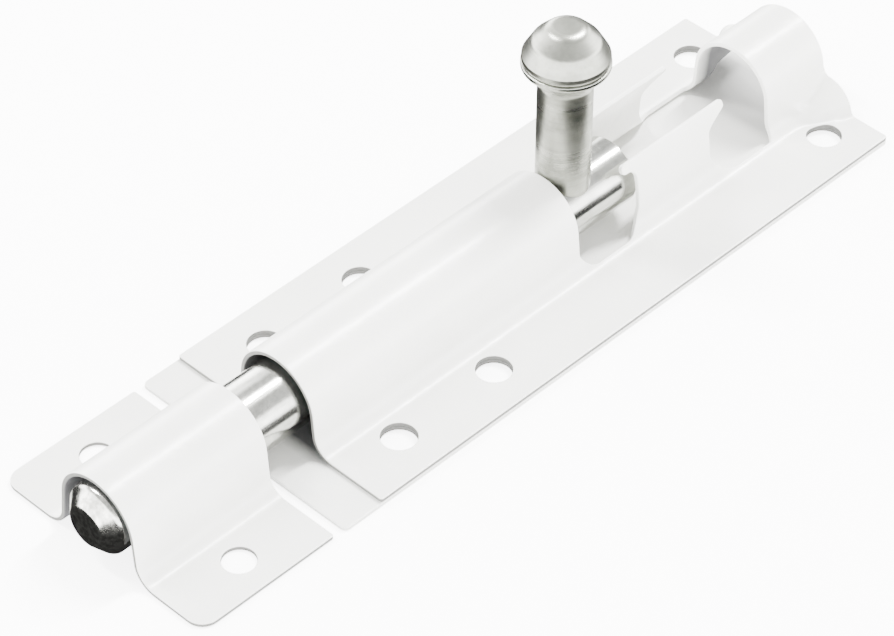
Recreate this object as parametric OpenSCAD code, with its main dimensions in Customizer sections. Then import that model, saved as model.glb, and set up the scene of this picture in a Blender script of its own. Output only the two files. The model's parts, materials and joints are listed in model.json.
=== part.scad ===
// Tower bolt: a surface bolt of pressed sheet. A round bar slides in a humped casing and shoots
// into a humped keep. A knob on the bar folds into a notch at either end of the casing's slot.
// The bar runs along X and shoots towards -X. Z = 0 is the surface that it is screwed to, and
// X = 0 is halfway along the whole bolt with the bar shot.

/* [Sheet] */
// Thickness of the casing, back plate and keep
sheet_t = 0.7; // [0.5:0.05:0.8]
// Diameter of the screw holes in the casing and back plate
screw_d = 5; // [3.5:0.1:5]
// Diameter of the keep's screw holes
keep_screw_d = 4.6; // [3.5:0.1:5]
// Distance across the casing between its two rows of screw holes
screw_row_gap = 25; // [25:0.1:27]
// Distance between the keep's two screw holes
keep_screw_gap = 26.6; // [25:0.1:28]

/* [Casing] */
// Length of the casing
casing_l = 100.5; // [98:0.5:110]
// Width of the casing and the back plate
plate_w = 38; // [36:0.5:42]
// Length of back plate that shows past the casing's front end
plate_tail = 6.5; // [4:0.5:9]
// Distances of the three pairs of screw holes from the casing's front end
screw_x = [9.7, 27.4, 94.4];

/* [Hump] */
// Height of the bar's axis, and of the hump's arch, above the mounting surface
axis_z = 6.7; // [6.6:0.1:7.2]
// Outer radius of the hump's arch
arch_r = 6.8; // [6.7:0.05:7]
// Slope of the hump's legs away from upright
leg_lean = 5; // [3:0.5:6]
// Radius of the sweep where a leg runs out into the flange
sweep_r = 2.8; // [2.2:0.1:2.8]

/* [Slot] */
// Distance from the casing's front end to the first notch
notch_x = 49.7; // [48:0.1:52]
// Length of each notch
notch_l = 12; // [10:0.1:13]
// Distance between the first edges of the two notches
notch_pitch = 26.5; // [24:0.1:28]
// Height of the notches' floor above the flange
notch_floor = 0.4; // [0.3:0.1:0.8]
// Height of the top of the low walls between the notches
wall_top = 12.4; // [11.8:0.1:12.6]
// Outer radius of the low walls above the legs
wall_r = 13.5; // [12:0.5:15]

/* [Keep] */
// Length of the keep
keep_l = 22.8; // [20:0.1:26]
// Width of the keep
keep_w = 37.4; // [36:0.1:40]
// Gap between the keep and the back plate
keep_gap = 1.6; // [1:0.1:4]
// Corner radius at the keep's far end
keep_corner_r = 2.5; // [1:0.1:4]

/* [Bar and knob] */
// Diameter of the bar
bar_d = 10.2; // [9:0.1:10.6]
// How far the bar's nose passes the keep
nose_reach = 2; // [1:0.1:4]
// Radius of the rounding on the bar's nose
nose_r = 2.2; // [1:0.1:3.5]
// Distance from the bar's axis to the underside of the knob's head
knob_neck = 23; // [21:0.1:25]
// Diameter of the knob's shank
shank_d = 7.6; // [6:0.1:7.7]
// Diameter of the knob's rim
rim_d = 12.2; // [11:0.1:13]

/* [Hidden] */
$fn = 96;
eps = 0.01;
nudge = 0.01;
big = 200;
total_l = casing_l + plate_tail + keep_gap + keep_l + nose_reach;
casing_x0 = total_l / 2 - casing_l;      // casing's front end
casing_x1 = total_l / 2;                 // casing's rear end
plate_x0 = casing_x0 - plate_tail;       // back plate's front end
keep_x1 = plate_x0 - keep_gap;           // keep's end beside the plate
keep_x0 = keep_x1 - keep_l;              // keep's far end
nose_x = -total_l / 2;                   // tip of the bar
flange_z = 2 * sheet_t;                  // top of the casing's flange
notch1_x = casing_x0 + notch_x;          // first edge of the locked notch
notch2_x = notch1_x + notch_pitch;       // first edge of the drawn notch
slot_x1 = notch2_x + notch_l;            // rear end of the slot
notch_play = 0.1;                        // knob's gap to a notch's end at its stops
knob_x = notch1_x + shank_d / 2 + notch_play;
bar_tail = 9.9;                          // bar's length behind the knob's axis
bar_x1 = knob_x + bar_tail;              // square end of the bar
wall_start = 4;                          // the walls' section begins this far inside a notch
bar_end_chamfer = 0.5;
plate_corner_r = 0.8;
lip_r = 0.7;                             // radius of the walls' lips
lip_l = 1.9;                             // wall's overhang into the locked notch
lip_l2 = 3.7;                            // wall's overhang into the drawn notch
notch_r = 2.4;                           // corners of the locked notch
notch_r2 = 3.6;                          // corners of the drawn notch
saddle_play = 0.05;                      // gap between the knob's saddle and the bar
rim_h = 1.7;
rim_bevel = 0.7;                         // height of the slope on the rim's underside
groove_h = 0.6;
dome_drop = 1;                           // how far the dome's centre lies below its rim
groove_depth = 0.5;
neck_r = 1.6;                            // sweep under the knob's head
swell_l = 9;                             // length of the swell at the casing's rear end
swell_r = 4.7;                           // its outer radius there
swell_y = 7.9;                           // its centre, across and up
swell_z = flange_z - 0.1;
white = [0.93, 0.93, 0.91];
zinc = [0.78, 0.79, 0.8];

// Where the leg leaves the arch, as [y, z]
function leg_top() = [arch_r * cos(leg_lean), axis_z + arch_r * sin(leg_lean)];

// Centre of the sweep that joins the leg to a flange whose top is at height z
function sweep_centre(z) =
    let (run = (axis_z + (arch_r + sweep_r) * sin(leg_lean) - z - sweep_r) / cos(leg_lean))
    [(arch_r + sweep_r) * cos(leg_lean) + run * sin(leg_lean), z + sweep_r];

// Everything under the surface that lies "inset" below the top of a humped sheet whose flange
// top is at height z, without the part above the legs. Legs and curves cross by a hair instead
// of only touching, which leaves clean edges.
module hump_base(z, inset) {
    lean = [cos(leg_lean), sin(leg_lean)];
    top = leg_top() - (inset + nudge) * lean;
    c = sweep_centre(z);
    toe = c - (sweep_r + inset + nudge) * lean;
    foot = z - inset;
    patch = [c[0] - toe[0] + 1, toe[1] - foot + 1];
    polygon([
        [-top[0], top[1]], [-toe[0], toe[1]], [-toe[0], foot - 1], [toe[0], foot - 1], toe, top,
    ]);
    for (side = [-1, 1])
        difference() {
            translate([side * (c[0] - patch[0] / 2) - patch[0] / 2, foot - 1])
                square(patch);
            translate([side * c[0], c[1]])
                circle(sweep_r + inset + 2 * nudge);
        }
    translate([-big / 2, foot - 5])
        square([big, 5]);
}

// Section under a full round hump
module arch_section(z, inset) {
    hump_base(z, inset);
    translate([0, axis_z])
        circle(arch_r - inset);
}

// Section under the low walls, which close in less than the arch does
module wall_section(z, inset) {
    centre = leg_top() - wall_r * [cos(leg_lean), sin(leg_lean)];
    hump_base(z, inset);
    intersection() {
        translate(centre)
            circle(wall_r - inset);
        translate([-centre[0], centre[1]])
            circle(wall_r - inset);
        translate([-arch_r, centre[1]])
            square([2 * arch_r, big]);
    }
}

// Stands a [y, z] section up and runs it along X from x0 to x1
module along_x(x0, x1) {
    translate([x0, 0, 0])
        rotate([90, 0, 90])
            linear_extrude(x1 - x0)
                children();
}

// Flat blank between heights z0 and z1, with two rounded corners at its low X end
module blank(x0, x1, w, r, z0, z1) {
    translate([0, 0, z0])
        linear_extrude(z1 - z0)
            union() {
                translate([x0 + r, -w / 2])
                    square([x1 - x0 - r, w]);
                translate([x0, -w / 2 + r])
                    square([x1 - x0, w - 2 * r]);
                for (side = [-1, 1])
                    translate([x0 + r, side * (w / 2 - r)])
                        circle(r);
            }
}

// Screw holes of diameter d at the given places, both sides of the centre line
module screw_holes(places, gap, d) {
    for (x = places, side = [-1, 1])
        translate([x, side * gap / 2, -1])
            cylinder(h = flange_z + 2, d = d);
}

// Cone that swells the sheet out towards the casing's rear end, on both sides. Its surface is
// "inset" below the outside of the sheet.
module swell(inset) {
    slant = atan(swell_r / swell_l);
    for (side = [-1, 1])
        translate([casing_x1 + eps, side * swell_y, swell_z])
            rotate([0, -90, 0])
                rotate_extrude()
                    polygon([
                        [0, 0], [swell_r - inset / cos(slant), 0], [0, swell_l - inset / sin(slant)],
                    ]);
}

// Shape in the XZ plane of one notch, open upwards into the slot. The wall beside its high X
// end has a round-nosed lip that overhangs the notch, and r is the radius of its corners.
module notch_shape(r, lip) {
    floor_z = flange_z + notch_floor;
    lip_z = wall_top - 2 * lip_r;
    translate([0, floor_z + r])
        square([notch_l, lip_z - floor_z - 2 * r]);
    translate([r, floor_z])
        square([notch_l - 2 * r, lip_z - floor_z]);
    for (x = [r, notch_l - r], z = [floor_z + r, lip_z - r])
        translate([x, z])
            circle(r);
    difference() {
        translate([0, floor_z + r])
            square([notch_l - lip + lip_r, big]);
        translate([notch_l - lip + lip_r, wall_top - lip_r])
            circle(lip_r);
    }
}

// The slot and its two notches, cut straight through both sides of the hump
module slot_cut() {
    depth = 3 * arch_r;
    translate([notch1_x, depth / 2, 0])
        rotate([90, 0, 0])
            linear_extrude(depth)
                notch_shape(notch_r, lip_l);
    translate([slot_x1, depth / 2, 0])
        mirror([1, 0, 0])
            rotate([90, 0, 0])
                linear_extrude(depth)
                    notch_shape(notch_r2, lip_l2);
    translate([notch1_x, -arch_r, wall_top])
        cube([slot_x1 - notch1_x, 2 * arch_r, big]);
}

module back_plate() {
    color(white)
        difference() {
            blank(plate_x0, casing_x1, plate_w, plate_corner_r, 0, sheet_t);
            screw_holes([for (x = screw_x) casing_x0 + x], screw_row_gap, screw_d);
        }
}

module casing() {
    color(white)
        difference() {
            intersection() {
                union() {
                    along_x(casing_x0, notch1_x + wall_start)
                        arch_section(flange_z, 0);
                    along_x(notch1_x + wall_start, slot_x1 - wall_start)
                        wall_section(flange_z, 0);
                    along_x(slot_x1 - wall_start, casing_x1)
                        arch_section(flange_z, 0);
                    swell(0);
                }
                translate([casing_x0, -plate_w / 2, sheet_t])
                    cube([casing_l, plate_w, big]);
            }
            along_x(casing_x0 - 1, notch1_x + wall_start)
                arch_section(flange_z, sheet_t);
            along_x(notch1_x + wall_start, slot_x1 - wall_start)
                wall_section(flange_z, sheet_t);
            along_x(slot_x1 - wall_start, casing_x1 + 1)
                arch_section(flange_z, sheet_t);
            swell(sheet_t);
            slot_cut();
            screw_holes([for (x = screw_x) casing_x0 + x], screw_row_gap, screw_d);
        }
}

module keep() {
    color(white)
        difference() {
            intersection() {
                along_x(keep_x0, keep_x1)
                    arch_section(sheet_t, 0);
                blank(keep_x0, keep_x1, keep_w, keep_corner_r, 0, big);
            }
            along_x(keep_x0 - 1, keep_x1 + 1)
                arch_section(sheet_t, sheet_t);
            screw_holes([(keep_x0 + keep_x1) / 2], keep_screw_gap, keep_screw_d);
        }
}

module bolt_bar() {
    r = bar_d / 2;
    len = bar_x1 - nose_x;
    c = bar_end_chamfer;
    color(zinc)
        translate([nose_x, 0, axis_z])
            rotate([0, 90, 0])
                rotate_extrude()
                    union() {
                        translate([0, nose_r])
                            polygon([
                                [0, 0], [r, 0], [r, len - nose_r - c],
                                [r - c, len - nose_r], [0, len - nose_r],
                            ]);
                        square([r - nose_r, nose_r + eps]);
                        translate([r - nose_r, nose_r])
                            intersection() {
                                circle(nose_r);
                                translate([0, -nose_r])
                                    square(nose_r + eps);
                            }
                    }
}

module knob() {
    r = shank_d / 2;
    dome_r = rim_d / 2 - 0.1;
    groove_z = knob_neck + rim_h;
    cap_z = groove_z + groove_h;
    color(zinc)
        translate([knob_x, 0, axis_z])
            difference() {
                rotate_extrude() {
                    square([r, knob_neck + rim_h]);
                    // sweep from the shank out to the rim
                    difference() {
                        translate([0, knob_neck - neck_r])
                            square([r + neck_r, neck_r + eps]);
                        translate([r + neck_r, knob_neck - neck_r])
                            circle(neck_r);
                    }
                    translate([0, knob_neck])
                        polygon([
                            [0, 0], [r + neck_r, 0], [rim_d / 2, rim_bevel],
                            [rim_d / 2, rim_h], [0, rim_h],
                        ]);
                    translate([0, groove_z - eps])
                        square([dome_r - groove_depth, groove_h + 2 * eps]);
                    // domed cap
                    intersection() {
                        translate([0, cap_z - dome_drop])
                            circle(dome_r);
                        translate([0, cap_z])
                            square(2 * dome_r);
                    }
                }
                rotate([0, 90, 0])
                    cylinder(h = 3 * shank_d, r = bar_d / 2 + saddle_play, center = true);
            }
}

back_plate();
casing();
keep();
bolt_bar();
knob();
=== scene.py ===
"""Looks of a tower bolt: pressed white sheets, a zinc-plated bar and a turned knob.

Sizes are in millimetres until a mesh is made. Each pressed sheet is drawn flat, as a pattern with
x along the bolt and s across it, and is then bent up along the section of its hump.
"""
import json
import math

import bpy
import numpy as np
from mathutils import Matrix, Vector
from mathutils.geometry import delaunay_2d_cdt


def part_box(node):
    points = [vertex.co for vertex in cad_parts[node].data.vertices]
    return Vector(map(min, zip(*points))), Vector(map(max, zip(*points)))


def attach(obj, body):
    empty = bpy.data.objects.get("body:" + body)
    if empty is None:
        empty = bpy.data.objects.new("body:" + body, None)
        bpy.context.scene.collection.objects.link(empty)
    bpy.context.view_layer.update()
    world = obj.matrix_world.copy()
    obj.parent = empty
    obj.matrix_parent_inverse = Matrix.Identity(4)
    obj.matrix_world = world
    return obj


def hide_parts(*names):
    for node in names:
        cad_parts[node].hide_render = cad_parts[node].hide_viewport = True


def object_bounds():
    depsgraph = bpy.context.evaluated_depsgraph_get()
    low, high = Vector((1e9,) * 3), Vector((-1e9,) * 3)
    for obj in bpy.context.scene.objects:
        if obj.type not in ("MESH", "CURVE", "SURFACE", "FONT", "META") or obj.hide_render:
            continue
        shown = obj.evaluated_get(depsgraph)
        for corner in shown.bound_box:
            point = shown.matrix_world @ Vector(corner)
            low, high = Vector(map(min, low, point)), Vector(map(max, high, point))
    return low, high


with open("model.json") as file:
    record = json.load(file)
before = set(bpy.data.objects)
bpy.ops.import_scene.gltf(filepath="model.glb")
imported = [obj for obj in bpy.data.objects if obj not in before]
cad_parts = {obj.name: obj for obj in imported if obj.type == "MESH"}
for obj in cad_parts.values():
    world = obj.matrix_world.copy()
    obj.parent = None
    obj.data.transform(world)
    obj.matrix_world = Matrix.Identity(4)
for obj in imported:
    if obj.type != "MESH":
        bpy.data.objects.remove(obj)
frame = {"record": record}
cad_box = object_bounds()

MM = 0.001


# ---------------------------------------------------------------- sizes, from the frame
def box_mm(node):
    """The low and the high corner of a CAD node's box."""
    low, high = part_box(node)
    return low / MM, high / MM


PLATE_LOW, PLATE_HIGH = box_mm("back_plate")
CASING_LOW, CASING_HIGH = box_mm("casing")
KEEP_LOW, KEEP_HIGH = box_mm("keep")
BAR_LOW, BAR_HIGH = box_mm("bolt_bar")
KNOB_LOW, KNOB_HIGH = box_mm("knob")
MOUNTS = {m["name"]: m for m in frame["record"]["mounts"]}

SHEET = PLATE_HIGH.z - PLATE_LOW.z
AXIS_Z = (BAR_LOW.z + BAR_HIGH.z) / 2
BAR_R = (BAR_HIGH.z - BAR_LOW.z) / 2
KNOB_X = (KNOB_LOW.x + KNOB_HIGH.x) / 2
RIM_R = (KNOB_HIGH.x - KNOB_LOW.x) / 2
ARCH_R = CASING_HIGH.z - AXIS_Z

# The hump's section
LEAN = math.radians(5)
SWEEP_R = 2.8
WALL_R = 13.5
WALL_TOP = 12.4
NOTCH_FLOOR = 1.8

# The slot, from the casing's front end: both notches, where the walls' lips end, and how far
# inside a notch the walls' section begins
NOTCH1 = (49.75, 61.7)
NOTCH2 = (76.25, 88.3)
LIP1 = 59.35
LIP2 = 79.95
WALL_START = 5

# The swell of the sweep at the casing's rear end: its length, radius and centre
SWELL_L = 9.0
SWELL_R = 4.7
SWELL_Y = 7.9
SWELL_Z = 1.3

# The bar's nose is a flat and a bevel, and its other end has a small chamfer. The plate is worn
# rough from the nose's tip, and that has faded out at ROUGH_NOSE_L
NOSE_FLAT_R = 2.9
NOSE_BEVEL_L = 1.9
BAR_CHAMFER = 0.5
ROUGH_NOSE_L = 3.24
ROUGH_FADE_L = 2.4

# The knob: its shank, the place of its rim above the bar's axis, the groove and its foot
SHANK_R = 3.8
NECK = 23.0
GROOVE = 0.42
SADDLE_PLAY = 0.05
SADDLE_DEPTH = 2.6

# Brightness of the surroundings, the ways to the tent's extra panel and to the gap in its wall,
# and how much of the light is left in the gap
FLOOR_GLOW = 5.0
TENT_WALL = 12.0
TENT_ROOF = 1.5
BACK_PANEL = 6.0
BACK_PANEL_WAY = (0.53, 0.76, 0.38)
GAP_WAY = (0.82, 0.45, 0.36)
GAP_LIGHT = 0.06

# Rounding of the sheets' edges, and the clear strip of flat pattern beside it
EDGE_R = 0.17
EDGE_STEPS = 4
RIM_CLEAR = 0.3

# How dark the cut edges are painted down their sides and undersides: partly a thin coat over the cut
# steel, partly painted shade of the gap under each sheet and of the hole walls
OUTLINE_WEAR_AND_SHADE = 1.0
PLATE_OUTLINE_WEAR_AND_SHADE = 0.72
SLOT_WEAR_AND_SHADE = 0.5
HOLE_WEAR_AND_SHADE = 2.0
PLATE_HOLE_WEAR_AND_SHADE = 20.0


# ---------------------------------------------------------------- outlines in the plane
def rounded(corners, closed, turn_step=0.2):
    """Points of a path whose corners (x, y, radius) are rounded, with the normal on its left."""
    out = []
    count = len(corners)
    for i, (px, py, radius) in enumerate(corners):
        p = np.array((px, py), float)
        before = np.array(corners[i - 1][:2], float)
        after = np.array(corners[(i + 1) % count][:2], float)
        if not closed and i in (0, count - 1):
            way = after - p if i == 0 else p - before
            way = way / np.linalg.norm(way)
            out.append((p, np.array((-way[1], way[0]))))
            continue
        back = (before - p) / np.linalg.norm(before - p)
        ahead = (after - p) / np.linalg.norm(after - p)
        if float(back @ ahead) < -1 + 1e-9:  # a point on a straight stretch
            out.append((p, np.array((-ahead[1], ahead[0]))))
            continue
        half = math.acos(max(-1.0, min(1.0, float(back @ ahead)))) / 2
        bisector = (back + ahead) / np.linalg.norm(back + ahead)
        centre = p + bisector * radius / math.sin(half)
        start = p + back * radius / math.tan(half) - centre
        turn = math.pi - 2 * half
        left = float(-back[0] * ahead[1] + back[1] * ahead[0]) > 0
        steps = max(3, math.ceil(turn / turn_step))
        for k in range(steps + 1):
            a = turn * k / steps * (1 if left else -1)
            spoke = np.array((
                start[0] * math.cos(a) - start[1] * math.sin(a),
                start[0] * math.sin(a) + start[1] * math.cos(a),
            ))
            out.append((centre + spoke, spoke / radius * (-1 if left else 1)))
    return out


def subdivided(points, step, closed=True):
    """The same polyline with no segment longer than step."""
    out = []
    pairs = zip(points, points[1:] + points[:1]) if closed else zip(points, points[1:])
    for a, b in pairs:
        pieces = max(1, math.ceil(math.dist(a, b) / step))
        for k in range(pieces):
            out.append(tuple(np.array(a) + (np.array(b) - np.array(a)) * k / pieces))
    if not closed:
        out.append(tuple(points[-1]))
    return out


def left_normals(loop):
    """Unit normals on the left of a closed loop of points."""
    p = np.array(loop)
    way = np.roll(p, -1, 0) - p
    way /= np.linalg.norm(way, axis=1)[:, None]
    mean = way + np.roll(way, 1, 0)
    mean /= np.linalg.norm(mean, axis=1)[:, None]
    return np.stack((-mean[:, 1], mean[:, 0]), 1)


def circle(x, s, radius, count=56):
    """A hole: its points run clockwise, so the sheet is on their left."""
    turns = [-2 * math.pi * k / count for k in range(count)]
    return [(x + radius * math.cos(a), s + radius * math.sin(a)) for a in turns]


def plate_outline(x0, x1, half_w, r0, r1, step=1.2):
    """A rectangle with corners of radius r0 at x0 and r1 at x1."""
    corners = [(x0, -half_w, r0), (x1, -half_w, r1), (x1, half_w, r1), (x0, half_w, r0)]
    return subdivided([tuple(p) for p, _ in rounded(corners, True)], step)


def inside(points, loops):
    """Which points are within the first loop and outside the others."""
    hit = np.zeros(len(points), bool)
    x, y = points[:, 0], points[:, 1]
    for loop in loops:
        a = np.array(loop)
        b = np.roll(a, -1, 0)
        for (ax, ay), (bx, by) in zip(a, b):
            if ay == by:
                continue
            crosses = (ay > y) != (by > y)
            hit ^= crosses & (x < (bx - ax) * (y - ay) / (by - ay) + ax)
    return hit


# ---------------------------------------------------------------- sections of the sheets
class Hump:
    """A humped sheet's top surface, at x along the bolt and s across it from the crown."""

    def __init__(self, flange_z, front_x=None):
        """s_leg, s_sweep and s_flange are where the leg, the sweep and the flange begin."""
        lean = LEAN
        drop = AXIS_Z + (ARCH_R + SWEEP_R) * math.sin(lean) - flange_z - SWEEP_R
        self.leg = drop / math.cos(lean)
        self.flange_z = flange_z
        self.sweep_y = (ARCH_R + SWEEP_R) * math.cos(lean) + self.leg * math.sin(lean)
        self.s_leg = ARCH_R * (math.pi / 2 - lean)
        self.s_sweep = self.s_leg + self.leg
        self.s_flange = self.s_sweep + SWEEP_R * (math.pi / 2 - lean)
        self.front_x = front_x
        self.swell = None

    def side(self, s, walls):
        """(y, z) at distance s from the crown, on the side where y is positive."""
        lean = LEAN
        if s <= self.s_leg:
            if walls:
                a = lean + (self.s_leg - s) / WALL_R
                y = (ARCH_R - WALL_R) * math.cos(lean) + WALL_R * math.cos(a)
                return y, AXIS_Z + (ARCH_R - WALL_R) * math.sin(lean) + WALL_R * math.sin(a)
            return ARCH_R * math.sin(s / ARCH_R), AXIS_Z + ARCH_R * math.cos(s / ARCH_R)
        if s <= self.s_sweep:
            run = s - self.s_leg
            return (
                ARCH_R * math.cos(lean) + run * math.sin(lean),
                AXIS_Z + ARCH_R * math.sin(lean) - run * math.cos(lean),
            )
        if s <= self.s_flange:
            a = lean + (s - self.s_sweep) / SWEEP_R
            return (
                self.sweep_y - SWEEP_R * math.cos(a),
                self.flange_z + SWEEP_R - SWEEP_R * math.sin(a),
            )
        return self.sweep_y + s - self.s_flange, self.flange_z

    def at(self, x, s):
        """The place of a point of the flat pattern on the bent sheet."""
        walls = False
        if self.front_x is not None:
            walls = NOTCH1[0] + WALL_START < x - self.front_x < NOTCH2[1] - WALL_START
        y, z = self.side(abs(s), walls)
        if self.swell is not None:
            dy, dz = self.swell.push(x, abs(s))
            y, z = y + dy, z + dz
        return np.array((x, math.copysign(y, s), z))

    def s_of_y(self, y):
        """The distance from the crown of a place on the flange."""
        return self.s_flange + y - self.sweep_y

    def s_of_z(self, z, walls):
        """The distance from the crown at which the surface has come down to z."""
        low, high = 0.0, self.s_flange
        for _ in range(40):
            middle = (low + high) / 2
            if self.side(middle, walls)[1] > z:
                low = middle
            else:
                high = middle
        return (low + high) / 2


class Swell:
    """Pushes the sweep out into a round shoulder that grows towards the casing's rear end."""

    PITCH_X = 0.25     # of the table of pushes
    PITCH_S = 0.1
    TOP_Z = 6.9        # the leg is left alone above this
    END_Y = 13.0       # and the flange beyond this
    SOFT = 0.9         # how softly the shoulder joins the sweep
    REACH = 1.2        # how far past the shoulder's foot the section moves
    SPOKES = 1500

    def __init__(self, hump, rear_x):
        """Makes the table of pushes over x and s.

        Seen from the shoulder's centre the section is a reach in each direction. The reach is
        raised to the shoulder's radius, and the raised curve is shared out evenly over s.
        """
        self.x0 = rear_x - SWELL_L - 1.5
        self.s0 = hump.s_of_z(self.TOP_Z, False)
        s1 = hump.s_of_y(self.END_Y + 0.2)
        xs = np.arange(self.x0, rear_x + 2 * self.PITCH_X, self.PITCH_X)
        ss = np.arange(self.s0, s1 + self.PITCH_S, self.PITCH_S)
        plain = np.array([hump.side(s, False) for s in ss])
        spokes = plain - (SWELL_Y, SWELL_Z)
        angle = np.arctan2(spokes[:, 1], spokes[:, 0])
        reach = np.linalg.norm(spokes, axis=1)
        fan = np.linspace(angle[0], angle[-1], self.SPOKES)
        plain_reach = np.interp(-fan, -angle, reach)
        table = np.zeros((len(xs), len(ss), 2))
        for i, x in enumerate(xs):
            grown = (x - rear_x + SWELL_L) / SWELL_L
            if grown <= 0:
                continue
            radius = SWELL_R * grown
            start = min(1.0, grown / 0.5)
            foot = min(self.END_Y, SWELL_Y + radius + self.REACH)
            used = int(np.searchsorted(plain[:, 0], foot))
            mix = np.clip(0.5 + 0.5 * (plain_reach - radius) / self.SOFT, 0, 1)
            rho = radius + (plain_reach - radius) * mix + self.SOFT * mix * (1 - mix)
            rho = np.where(mix >= 1, plain_reach, rho)
            curve = np.stack((SWELL_Y + rho * np.cos(fan), SWELL_Z + rho * np.sin(fan)), 1)
            curve = curve[curve[:, 0] <= plain[used, 0]]
            steps = np.linalg.norm(np.diff(curve, axis=0), axis=1)
            along = np.concatenate(([0], np.cumsum(steps)))
            want = np.linspace(0, along[-1], used)
            for axis in (0, 1):
                moved = np.interp(want, along, curve[:, axis]) - plain[:used, axis]
                table[i, :used, axis] = moved * start ** 2 * (3 - 2 * start)
        table[:, 0] = 0
        table[:, -1] = 0
        self.table = self.smoothed(self.smoothed(table, 1, 5), 0, 3)

    @staticmethod
    def smoothed(table, axis, reach):
        """The table blurred along one axis."""
        kernel = np.exp(-0.5 * (np.arange(-2 * reach, 2 * reach + 1) / reach) ** 2)
        kernel /= kernel.sum()
        pad = [(0, 0)] * 3
        pad[axis] = (2 * reach, 2 * reach)
        padded = np.pad(table, pad, mode="edge")
        return np.apply_along_axis(lambda v: np.convolve(v, kernel, "valid"), axis, padded)

    def push(self, x, s):
        """How far the surface at x and s moves, as (dy, dz)."""
        i = (x - self.x0) / self.PITCH_X
        j = (s - self.s0) / self.PITCH_S
        if i <= 0 or j <= 0 or j >= self.table.shape[1] - 1:
            return 0.0, 0.0
        i = min(i, self.table.shape[0] - 1.001)
        a, b = int(i), int(j)
        u, v = i - a, j - b
        t = self.table
        mix = (t[a, b] * (1 - v) + t[a, b + 1] * v) * (1 - u)
        mix = mix + (t[a + 1, b] * (1 - v) + t[a + 1, b + 1] * v) * u
        return float(mix[0]), float(mix[1])


class Flat:
    """A flat sheet's top surface."""

    def __init__(self, z):
        self.z = z

    def at(self, x, s):
        return np.array((x, s, self.z))


# ---------------------------------------------------------------- meshes
def mesh_object(name, vertices, faces, normals=None, **values):
    """A smooth-shaded mesh from millimetres. Each of values is a list from 0 to 1 by vertex."""
    mesh = bpy.data.meshes.new(name)
    mesh.from_pydata([Vector(v) * MM for v in vertices], [], faces)
    mesh.polygons.foreach_set("use_smooth", [True] * len(mesh.polygons))
    for key, numbers in values.items():
        layer = mesh.attributes.new(key, "FLOAT", "POINT")
        layer.data.foreach_set("value", numbers)
    mesh.update()
    if normals is not None:
        mesh.normals_split_custom_set_from_vertices([Vector(n).normalized() for n in normals])
    obj = bpy.data.objects.new(name, mesh)
    bpy.context.scene.collection.objects.link(obj)
    return obj


def no_painted_shade(x, s):
    """No painted shade anywhere."""
    return 0.0


def sheet_object(name, surface, loops, edge_wear_and_shade, x_lines, s_lines, under=no_painted_shade,
                 over=no_painted_shade):
    """A bent sheet: top face, underside and rounded edges, from loops with the sheet on the left.

    The edge values, one for each loop, say how dark its cut edge is painted: partly a thin coat,
    partly painted shade. under(x, s) and over(x, s) are painted shade on the underside and on top.
    """
    step = 0.02

    def frame_at(x, s):
        """The place, its normal, the ways along and across the bolt, and the way out of the sheet."""
        place = surface.at(x, s)
        along = surface.at(x + step, s) - surface.at(x - step, s)
        across = surface.at(x, s + step) - surface.at(x, s - step)
        along, across = along / np.linalg.norm(along), across / np.linalg.norm(across)
        normal = np.cross(along, across)
        depth_way = np.cross((1.0, 0.0, 0.0), across)
        return place, normal / np.linalg.norm(normal), along, across, depth_way

    quarter = [math.pi / 2 * k / EDGE_STEPS for k in range(EDGE_STEPS + 1)]
    rings = [(EDGE_R * (1 - math.sin(a)), EDGE_R * (1 - math.cos(a)), a) for a in quarter]
    rings += [(inset, SHEET - depth, math.pi - a) for inset, depth, a in reversed(rings)]

    vertices, normals, edge_values, bare_values, faces = [], [], [], [], []
    top, bottom, points, edges, rims = [], [], [], [], []
    for loop, loop_wear_and_shade in zip(loops, edge_wear_and_shade):
        inward = left_normals(loop)
        count = len(loop)
        first = len(vertices)
        for inset, depth, a in rings:
            for (x, s), (ix, iy) in zip(loop, inward):
                place, normal, along, across, up = frame_at(x + ix * inset, s + iy * inset)
                outward = -(along * ix + across * iy)
                vertices.append(place - up * depth)
                normals.append(normal * math.cos(a) + outward * math.sin(a))
                edge_values.append(min(1.0, loop_wear_and_shade * min(1.0, a / (math.pi / 2)) ** 2))
                # Painted shade from the underside and the top carries onto the rounded edge.
                bare = under(x, s) * max(0.0, -math.cos(a)) + over(x, s) * max(0.0, math.cos(a))
                bare_values.append(bare)
        for r in range(len(rings) - 1):
            for i in range(count):
                j = (i + 1) % count
                a, b = first + r * count, first + (r + 1) * count
                faces.append((a + j, a + i, b + i, b + j))
        base = len(points)
        rims.append([(x + ix * EDGE_R, s + iy * EDGE_R) for (x, s), (ix, iy) in zip(loop, inward)])
        points += rims[-1]
        for i in range(count):
            edges.append((base + i, base + (i + 1) % count))
            top.append(first + i)
            bottom.append(first + (len(rings) - 1) * count + i)

    grid = np.array([(x, s) for x in x_lines for s in s_lines])
    grid = grid[inside(grid, loops)]
    rim = np.array(points)
    near = np.array([np.min(np.sum((rim - g) ** 2, 1)) for g in grid])
    for x, s in grid[near > RIM_CLEAR ** 2]:
        place, normal, _, _, up = frame_at(x, s)
        points.append((x, s))
        for depth, way, order, painted_shade_of in ((0, 1, top, over), (SHEET, -1, bottom, under)):
            order.append(len(vertices))
            vertices.append(place - up * depth)
            normals.append(normal * way)
            edge_values.append(0.0)
            bare_values.append(painted_shade_of(x, s))

    result = delaunay_2d_cdt([Vector(p) for p in points], edges, [], 0, 1e-7)
    place_of, triangles, source = result[0], result[2], result[3]
    middles = np.array([
        sum((np.array(place_of[v]) for v in t), np.zeros(2)) / 3 for t in triangles
    ])
    for t, kept in zip(triangles, inside(middles, rims)):
        if kept:
            a, b, c = (source[v][0] for v in t)
            faces.append((top[a], top[b], top[c]))
            faces.append((bottom[c], bottom[b], bottom[a]))
    return mesh_object(name, vertices, faces, normals, edge=edge_values, bare=bare_values)


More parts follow.
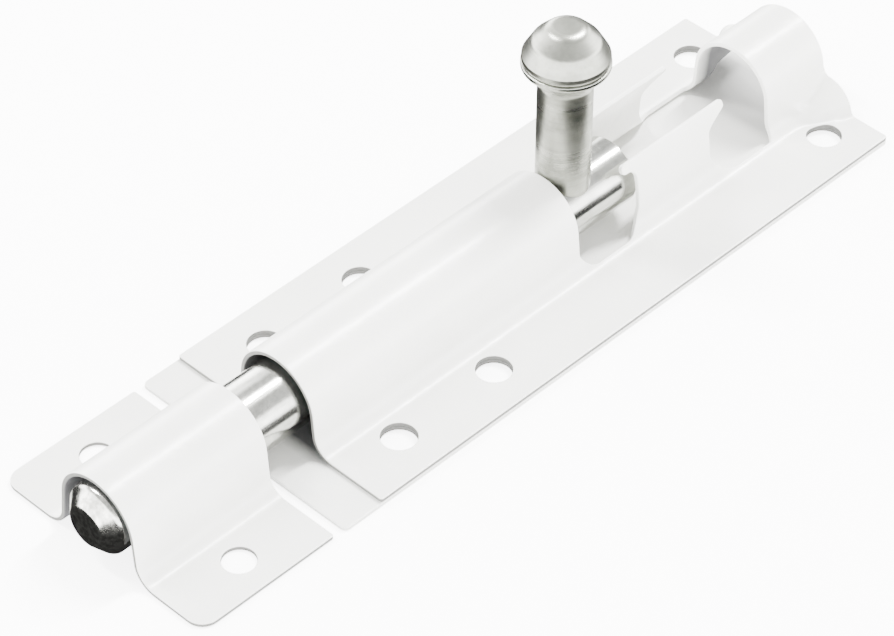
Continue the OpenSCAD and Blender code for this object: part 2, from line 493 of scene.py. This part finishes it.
def section_lines(hump, half_s):
    """Lines along the bolt, close together where the section is round."""
    stops = [0, hump.s_leg, hump.s_sweep, hump.s_flange, half_s]
    pitches = [0.5, 0.8, 0.33, 1.6]
    lines = []
    for a, b, pitch in zip(stops, stops[1:], pitches):
        count = max(1, round((b - a) / pitch))
        lines += [a + (b - a) * k / count for k in range(count)]
    return sorted({*lines, *(-s for s in lines)})


def turned(profile, place, angles=96):
    """A lathe-turned solid about its own Z axis. profile is [(z, r, radius of the corner)]."""
    path = rounded(profile, False, turn_step=0.12)
    vertices, normals, faces = [], [], []
    rows = []
    for (z, r), (nz, nr) in path:
        if r < 1e-6:
            rows.append([len(vertices)] * angles)
            vertices.append(place @ Vector((0, 0, z)))
            normals.append(place.to_3x3() @ Vector((0, 0, -1 if not rows[:-1] else 1)))
            continue
        row = []
        for k in range(angles):
            a = 2 * math.pi * k / angles
            row.append(len(vertices))
            vertices.append(place @ Vector((r * math.cos(a), r * math.sin(a), z)))
            normals.append(place.to_3x3() @ Vector((nr * math.cos(a), nr * math.sin(a), nz)))
        rows.append(row)
    for low, high in zip(rows, rows[1:]):
        for k in range(angles):
            j = (k + 1) % angles
            face = (low[k], low[j], high[j], high[k])
            faces.append(tuple(dict.fromkeys(face)))
    return vertices, normals, faces


# ---------------------------------------------------------------- pieces
def make_back_plate():
    """The flat sheet under the casing."""
    loops = [plate_outline(PLATE_LOW.x, PLATE_HIGH.x, PLATE_HIGH.y, 0.9, 0.4)]
    loops += [circle(x, y, r) for x, y, r in screw_holes("casing_screws")]
    loops += [circle(x, y, r) for x, y, r in screw_holes("casing_middle_screws")]
    x_lines = np.arange(PLATE_LOW.x + 1, PLATE_HIGH.x, 0.8)
    s_lines = np.arange(PLATE_LOW.y + 1, PLATE_HIGH.y, 1.0)
    edge_wear_and_shade = [PLATE_OUTLINE_WEAR_AND_SHADE] + [PLATE_HOLE_WEAR_AND_SHADE] * (len(loops) - 1)

    def over(x, y):
        """Painted shade on the plate's top: dark in the casing's front tunnel from just before its
        mouth, and half as dark in the rear one.
        """
        along = x - CASING_LOW.x
        front = min(1.0, (along + 1.2) / 1.9, (NOTCH1[0] - along) / 2.0)
        rear = min(0.5, (along - NOTCH2[1] + 0.5) / 4.0, (CASING_HIGH.x - x) / 4.0)
        return max(0.0, front, rear) * max(0.0, min(1.0, 10.2 - abs(y)))

    plate = Flat(PLATE_HIGH.z)
    return sheet_object("back_plate_sheet", plate, loops, edge_wear_and_shade, x_lines, s_lines, over=over)


def screw_holes(mount_name):
    """(x, y, radius) of each hole of a mount's pattern."""
    mount = MOUNTS[mount_name]
    dims = mount["dims"]
    x, y = mount["pos_m"][0] / MM, mount["pos_m"][1] / MM
    half_x, half_y = dims.get("spacing_x_mm", 0) / 2, dims["spacing_y_mm"] / 2
    columns = (x - half_x, x + half_x) if half_x else (x,)
    return [(c, y + side * half_y, dims["hole_r_mm"]) for c in columns for side in (-1, 1)]


def slot_loop(hump):
    """The casing's slot with its four notches, clockwise in the flat pattern."""
    x = CASING_LOW.x
    top, floor = WALL_TOP, NOTCH_FLOOR
    crown = AXIS_Z + ARCH_R - 0.05
    corners = [
        # the front notch
        (x + NOTCH1[0] - 0.05, crown, 0),
        (x + NOTCH1[0] + 0.05, floor, 2.2),
        (x + NOTCH1[1], floor, 3.6),
        # the wall's top, with a small lip over each notch
        (x + NOTCH1[1], top - 1.38, 1.3),
        (x + LIP1, top - 1.3, 0.62),
        (x + LIP1, top, 0.62),
        (x + LIP2, top, 0.5),
        (x + LIP2, top - 1.05, 0.45),
        (x + NOTCH2[0] + 1.0, top - 2.45, 1.2),
        (x + NOTCH2[0], top - 3.2, 1.2),
        # the rear notch
        (x + NOTCH2[0], floor, 4.2),
        (x + NOTCH2[1] + 0.1, floor, 0.9),
        (x + NOTCH2[1] - 0.1, crown, 0),
    ]
    path = [tuple(p) for p, _ in rounded(corners, False)]
    walls = (x + NOTCH1[0] + WALL_START, x + NOTCH2[1] - WALL_START)
    front = [(px, hump.s_of_z(pz, walls[0] < px < walls[1])) for px, pz in path]
    front[0] = (front[0][0], 0.0)
    front[-1] = (front[-1][0], 0.0)
    front = subdivided(front, 0.35, closed=False)
    back = [(px, -s) for px, s in reversed(front[1:-1])]
    return front + back


def make_casing():
    """The long humped sheet with its slot."""
    hump = Hump(CASING_LOW.z + SHEET, CASING_LOW.x)
    hump.swell = Swell(hump, CASING_HIGH.x)
    half_s = hump.s_of_y(CASING_HIGH.y)
    loops = [plate_outline(CASING_LOW.x, CASING_HIGH.x, half_s, 0.4, 0.4, step=0.6)]
    loops.append(slot_loop(hump))
    for mount in ("casing_screws", "casing_middle_screws"):
        for x, y, r in screw_holes(mount):
            loops.append(circle(x, math.copysign(hump.s_of_y(abs(y)), y), r))
    swell_x = CASING_HIGH.x - SWELL_L - 2
    x_lines = list(np.arange(CASING_LOW.x + 0.8, swell_x, 1.3))
    x_lines += list(np.arange(swell_x, CASING_HIGH.x - 0.3, 0.45))

    def under(x, s):
        """Painted shade on the underside: dark all along the front tunnel, and growing from the rear
        notch into the rear tunnel, a little later on the -y side.
        """
        if abs(s) > hump.s_flange:
            return 0.0
        front = (CASING_LOW.x + NOTCH1[0] - x) / 2.0
        in_view = s < -hump.s_leg
        rear = (x - CASING_LOW.x - NOTCH2[1] - (2.5 if in_view else -0.5)) / 3.0
        return max(0.0, min(1.0, max(front, rear)))

    edge_wear_and_shade = [OUTLINE_WEAR_AND_SHADE, SLOT_WEAR_AND_SHADE] + [HOLE_WEAR_AND_SHADE] * (len(loops) - 2)
    lines = section_lines(hump, half_s)
    return sheet_object("casing_sheet", hump, loops, edge_wear_and_shade, x_lines, lines, under)


def make_keep():
    """The short humped sheet, with painted shade over the whole underside of its hump."""
    hump = Hump(KEEP_LOW.z + SHEET)
    half_s = hump.s_of_y(KEEP_HIGH.y)
    loops = [plate_outline(KEEP_LOW.x, KEEP_HIGH.x, half_s, 2.5, 0.4, step=0.6)]
    for x, y, r in screw_holes("keep_screws"):
        loops.append(circle(x, math.copysign(hump.s_of_y(abs(y)), y), r))
    x_lines = np.arange(KEEP_LOW.x + 0.8, KEEP_HIGH.x - 0.3, 1.3)

    def under(x, s):
        # Painted shade: the whole underside of the hump is dark.
        return 1.0 if abs(s) < hump.s_flange else 0.0

    edge_wear_and_shade = [OUTLINE_WEAR_AND_SHADE] + [HOLE_WEAR_AND_SHADE] * (len(loops) - 1)
    lines = section_lines(hump, half_s)
    return sheet_object("keep_sheet", hump, loops, edge_wear_and_shade, x_lines, lines, under)


def make_bar():
    """The round bar, whose nose is rough where it strikes the keep."""
    length = BAR_HIGH.x - BAR_LOW.x
    profile = [
        (0, 0, 0),
        (0, NOSE_FLAT_R, 0.6),
        (NOSE_BEVEL_L, BAR_R, 1.1),
        (length - BAR_CHAMFER, BAR_R, 0.12),
        (length, BAR_R - BAR_CHAMFER, 0.12),
        (length, 0, 0),
    ]
    place = Matrix.Translation((BAR_LOW.x, 0, AXIS_Z)) @ Matrix.Rotation(math.pi / 2, 4, "Y")
    vertices, normals, faces = turned(profile, place)
    rough = [(BAR_LOW.x + ROUGH_NOSE_L - v[0]) / ROUGH_FADE_L for v in vertices]
    rough = [max(0.0, min(1.0, value)) for value in rough]
    return mesh_object("bolt_bar_turned", vertices, faces, normals, bare=rough)


def make_knob():
    """Shank, flare, rim, groove and a domed cap; its foot is saddled to the bar."""
    foot = BAR_R + SADDLE_PLAY
    height = KNOB_HIGH.z - AXIS_Z
    sole = foot - SADDLE_DEPTH
    sole_rings = 6
    profile = [(sole, SHANK_R * k / sole_rings, 0) for k in range(sole_rings)]
    profile += [
        (sole, SHANK_R, 0.12),
        # the flare and the rim
        (NECK - 1.7, SHANK_R, 1.8),
        (NECK - 0.1, SHANK_R + 1.05, 0.2),
        (NECK + 0.05, SHANK_R + 1.3, 0.1),
        (NECK + 1.0, RIM_R, 0.7),
        (NECK + 1.65, RIM_R, 0.2),
        # the groove
        (NECK + 1.75, RIM_R - GROOVE, 0.08),
        (NECK + 2.1, RIM_R - GROOVE, 0.08),
        (NECK + 2.2, RIM_R - 0.08, 0.12),
        # the cap
        (NECK + 2.8, RIM_R - 0.14, 0.2),
        (NECK + 5.1, RIM_R - 1.45, 2.2),
        (height, 2.5, 2.0),
        (height, 0, 0),
    ]
    place = Matrix.Translation((KNOB_X, 0, AXIS_Z))
    vertices, normals, faces = turned(profile, place)
    lifted = []
    for x, y, z in vertices:
        saddle = AXIS_Z + math.sqrt(max(0.0, foot ** 2 - y ** 2))
        lifted.append(Vector((x, y, max(z, saddle))))
    return mesh_object("knob_turned", lifted, faces, normals, bare=[0.0] * len(lifted))


# ---------------------------------------------------------------- materials
def new_material(name):
    """A material with only a Principled shader, as (material, node tree, shader)."""
    material = bpy.data.materials.new(name)
    material.use_nodes = True
    tree = material.node_tree
    tree.nodes.clear()
    out = tree.nodes.new("ShaderNodeOutputMaterial")
    shader = tree.nodes.new("ShaderNodeBsdfPrincipled")
    tree.links.new(shader.outputs["BSDF"], out.inputs["Surface"])
    return material, tree, shader


def noise_node(tree, source, scale, detail=3.0, roughness=0.5):
    """A noise texture at the given coordinates."""
    node = tree.nodes.new("ShaderNodeTexNoise")
    node.inputs["Scale"].default_value = scale
    node.inputs["Detail"].default_value = detail
    node.inputs["Roughness"].default_value = roughness
    tree.links.new(source, node.inputs["Vector"])
    return node.outputs["Fac"]


def spread(tree, source, low, high, in_low=0.3, in_high=0.7):
    """Maps a noise's middle range to low..high."""
    node = tree.nodes.new("ShaderNodeMapRange")
    node.inputs["From Min"].default_value = in_low
    node.inputs["From Max"].default_value = in_high
    node.inputs["To Min"].default_value = low
    node.inputs["To Max"].default_value = high
    tree.links.new(source, node.inputs["Value"])
    return node.outputs["Result"]


def mixed(tree, factor, a, b):
    """Mixes two colours. Each is a colour or a socket."""
    node = tree.nodes.new("ShaderNodeMix")
    node.data_type = "RGBA"
    tree.links.new(factor, node.inputs["Factor"])
    for value, socket in ((a, node.inputs[6]), (b, node.inputs[7])):
        if isinstance(value, tuple):
            socket.default_value = (*value, 1)
        else:
            tree.links.new(value, socket)
    return node.outputs[2]


def bump_node(tree, height, distance, onto=None):
    """A normal bumped by height times distance in metres, over another bump if one is given."""
    node = tree.nodes.new("ShaderNodeBump")
    node.inputs["Strength"].default_value = 1.0
    node.inputs["Distance"].default_value = distance
    tree.links.new(height, node.inputs["Height"])
    if onto is not None:
        tree.links.new(onto, node.inputs["Normal"])
    return node.outputs["Normal"]


def stretched(tree, scale):
    """Object coordinates squeezed along each axis by scale."""
    coords = tree.nodes.new("ShaderNodeTexCoord")
    mapping = tree.nodes.new("ShaderNodeMapping")
    mapping.inputs["Scale"].default_value = scale
    tree.links.new(coords.outputs["Object"], mapping.inputs["Vector"])
    return mapping.outputs["Vector"]


def stored(tree, name):
    """One of the values that the mesh holds by vertex."""
    node = tree.nodes.new("ShaderNodeAttribute")
    node.attribute_name = name
    return node.outputs["Fac"]


def white_coat():
    """Semi-gloss powder coat with a faint orange peel; cut edges painted dark, partly thin coat and
    partly painted shade, and painted shade inside the tunnels.
    """
    material, tree, shader = new_material("white_powder_coat")
    at = stretched(tree, (1, 1, 1))
    cloud = spread(tree, noise_node(tree, at, 90, 3), 0, 1)
    tone = mixed(tree, cloud, (0.70, 0.70, 0.67), (0.735, 0.735, 0.705))
    # Cut edges darken to near black: partly a thin coat over the steel, partly painted shade of the
    # gaps and hole walls.
    edge = spread(tree, stored(tree, "edge"), 0, 0.9, 0.6, 1.0)
    tone = mixed(tree, edge, tone, (0.06, 0.06, 0.055))
    # Painted shade: near black where the attribute is set, inside the humps' tunnels and on the plate
    # within them.
    bare = spread(tree, stored(tree, "bare"), 0, 1, 0.0, 1.0)
    tone = mixed(tree, bare, tone, (0.07, 0.07, 0.072))
    tree.links.new(tone, shader.inputs["Base Color"])
    rough = spread(tree, noise_node(tree, at, 260, 2), 0.30, 0.38)
    dull = tree.nodes.new("ShaderNodeMath")
    dull.operation = "ADD"
    tree.links.new(rough, dull.inputs[0])
    tree.links.new(spread(tree, stored(tree, "bare"), 0, 0.5, 0, 1), dull.inputs[1])
    tree.links.new(dull.outputs["Value"], shader.inputs["Roughness"])
    peel = noise_node(tree, at, 620, 2)
    fine = noise_node(tree, at, 2400, 2)
    normal = bump_node(tree, peel, 0.00008)
    normal = bump_node(tree, fine, 0.000006, onto=normal)
    tree.links.new(normal, shader.inputs["Normal"])
    shader.inputs["IOR"].default_value = 1.5
    shader.inputs["Coat Weight"].default_value = 0.25
    shader.inputs["Coat Roughness"].default_value = 0.2
    return material


def bright_zinc(name, stretch, light, dark, smooth, rough_most):
    """Zinc plate over turned steel: fine tool lines, faint stains and a rough nose.

    The lines run along the axes where stretch is small. Colour and roughness vary between light
    and dark, and between smooth and rough_most.
    """
    material, tree, shader = new_material(name)
    plain = stretched(tree, (1, 1, 1))
    lines = stretched(tree, stretch)
    streak = noise_node(tree, lines, 900, 4, 0.6)
    stain = spread(tree, noise_node(tree, plain, 240, 4, 0.6), 0, 1, 0.42, 0.72)
    tone = mixed(tree, stain, light, dark)
    fine = spread(tree, streak, 0, 0.45, 0.35, 0.65)
    tone = mixed(tree, fine, tone, dark)
    speck = spread(tree, noise_node(tree, plain, 1300, 3, 0.6), 0, 1, 0.38, 0.62)
    rough_end = mixed(tree, speck, (0.38, 0.38, 0.35), (0.72, 0.72, 0.67))
    tone = mixed(tree, stored(tree, "bare"), tone, rough_end)
    tree.links.new(tone, shader.inputs["Base Color"])
    rough = spread(tree, streak, smooth, rough_most)
    tree.links.new(rough, shader.inputs["Roughness"])
    normal = bump_node(tree, streak, 0.000016)
    normal = bump_node(tree, stain, 0.00001, onto=normal)
    tree.links.new(normal, shader.inputs["Normal"])
    shader.inputs["Metallic"].default_value = 1.0
    return material


# ---------------------------------------------------------------- stage
def area_light(name, place, size, power, along):
    """A lamp that looks at the object, with its second size along a direction."""
    data = bpy.data.lights.new(name, "AREA")
    data.shape = "RECTANGLE"
    data.size, data.size_y = size
    data.energy = power
    lamp = bpy.data.objects.new(name, data)
    back = Vector(place).normalized()
    side = Vector(along).cross(back).normalized()
    long = back.cross(side)
    lamp.matrix_world = Matrix.Translation(place) @ Matrix((side, long, back)).transposed().to_4x4()
    bpy.context.scene.collection.objects.link(lamp)
    return lamp


def make_floor():
    """A glowing floor just below the object, which shiny parts don't reflect."""
    half = 4.0
    mesh = bpy.data.meshes.new("floor")
    corners = [(-half, -half, 0), (half, -half, 0), (half, half, 0), (-half, half, 0)]
    mesh.from_pydata(corners, [], [(0, 1, 2, 3)])
    floor = bpy.data.objects.new("floor", mesh)
    floor.location.z = cad_box[0][2] - 0.00002
    bpy.context.scene.collection.objects.link(floor)
    material, tree, shader = new_material("pale_floor")
    shader.inputs["Base Color"].default_value = (0.95, 0.95, 0.95, 1)
    shader.inputs["Roughness"].default_value = 0.9
    shader.inputs["Specular IOR Level"].default_value = 0.1
    shader.inputs["Emission Color"].default_value = (1, 1, 1, 1)
    shader.inputs["Emission Strength"].default_value = FLOOR_GLOW
    mesh.materials.append(material)
    floor.visible_glossy = False


def ramp(tree, value, start, end, low, high):
    """A smooth step from low to high as value goes from start to end."""
    node = tree.nodes.new("ShaderNodeMapRange")
    node.interpolation_type = "SMOOTHSTEP"
    for key, number in (("From Min", start), ("From Max", end), ("To Min", low), ("To Max", high)):
        node.inputs[key].default_value = number
    tree.links.new(value, node.inputs["Value"])
    return node.outputs["Result"]


def make_lights():
    """A light tent: bright walls with a gap on the right, a dimmer roof and two lamps above."""
    world = bpy.data.worlds.new("tent")
    bpy.context.scene.world = world
    world.use_nodes = True
    tree = world.node_tree

    def combined(operation, a, b):
        """Two sockets added or multiplied."""
        node = tree.nodes.new("ShaderNodeMath")
        node.operation = operation
        tree.links.new(a, node.inputs[0])
        tree.links.new(b, node.inputs[1])
        return node.outputs["Value"]

    def facing(direction):
        """The cosine between a ray and a direction."""
        node = tree.nodes.new("ShaderNodeVectorMath")
        node.operation = "DOT_PRODUCT"
        tree.links.new(way, node.inputs[0])
        node.inputs[1].default_value = Vector(direction).normalized()
        return node.outputs["Value"]

    way = tree.nodes.new("ShaderNodeTexCoord").outputs["Generated"]
    up = facing((0, 0, 1))
    wall = ramp(tree, up, 0.25, 0.55, TENT_WALL, TENT_ROOF)
    back_panel = ramp(tree, facing(BACK_PANEL_WAY), 0.86, 0.97, 0.0, BACK_PANEL)
    side_gap = ramp(tree, facing(GAP_WAY), 0.87, 0.95, 1.0, GAP_LIGHT)
    above = ramp(tree, up, -0.05, 0.05, 0.004, 1)
    tent = combined("MULTIPLY", combined("ADD", wall, back_panel), side_gap)
    strength = combined("MULTIPLY", tent, above)
    tree.links.new(strength, tree.nodes["Background"].inputs["Strength"])
    tree.nodes["Background"].inputs["Color"].default_value = (1.0, 1.0, 1.0, 1)
    area_light("lamp_right", (0.56, -0.02, 0.9), (0.1, 0.5), 44, (1, 0, 0))
    area_light("lamp_left", (-0.31, 0.57, 0.9), (0.1, 0.5), 24, (0, 1, 0))


def make_camera():
    """At the viewing angle of the object's picture: over its front left corner, from far away."""
    azimuth, elevation, roll = math.radians(-45.9), math.radians(42.8), math.radians(0.34)
    distance = 0.5205
    aim = Vector((-0.00263, -0.00018, 0))
    back = Vector((
        math.sin(azimuth) * math.cos(elevation),
        -math.cos(azimuth) * math.cos(elevation),
        math.sin(elevation),
    ))
    right = (-back).cross(Vector((0, 0, 1))).normalized()
    up = right.cross(-back)
    right, up = (
        right * math.cos(roll) + up * math.sin(roll),
        up * math.cos(roll) - right * math.sin(roll),
    )
    data = bpy.data.cameras.new("camera")
    data.lens = 156.56
    data.sensor_width = 36
    camera = bpy.data.objects.new("camera", data)
    camera.matrix_world = Matrix.Translation(aim + back * distance) @ Matrix((
        (right.x, up.x, back.x), (right.y, up.y, back.y), (right.z, up.z, back.z),
    )).to_4x4()
    bpy.context.scene.collection.objects.link(camera)
    bpy.context.scene.camera = camera


# ---------------------------------------------------------------- the scene
make_camera()
make_lights()
make_floor()

COAT = white_coat()
BAR_ZINC = bright_zinc(
    "drawn_zinc", (0.04, 1, 1), (0.58, 0.585, 0.55), (0.34, 0.345, 0.32), 0.12, 0.24
)
# The knob's copy of the zinc is painted darker than the bar's: partly a duller turned finish, partly
# painted shade for the darker surroundings it faces.
KNOB_ZINC_SHADED = bright_zinc(
    "turned_zinc_shaded", (0.03, 0.03, 1), (0.41, 0.416, 0.372), (0.20, 0.206, 0.178), 0.24, 0.36
)

for piece, body, node, slot, material in (
    (make_back_plate(), "frame", "back_plate", "white_coat", COAT),
    (make_casing(), "frame", "casing", "white_coat", COAT),
    (make_keep(), "frame", "keep", "white_coat", COAT),
    (make_bar(), "bolt", "bolt_bar", "bright_zinc", BAR_ZINC),
    (make_knob(), "knob", "knob", "bright_zinc", KNOB_ZINC_SHADED),
):
    piece.data.materials.append(material)
    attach(piece, body)
    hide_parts(node)
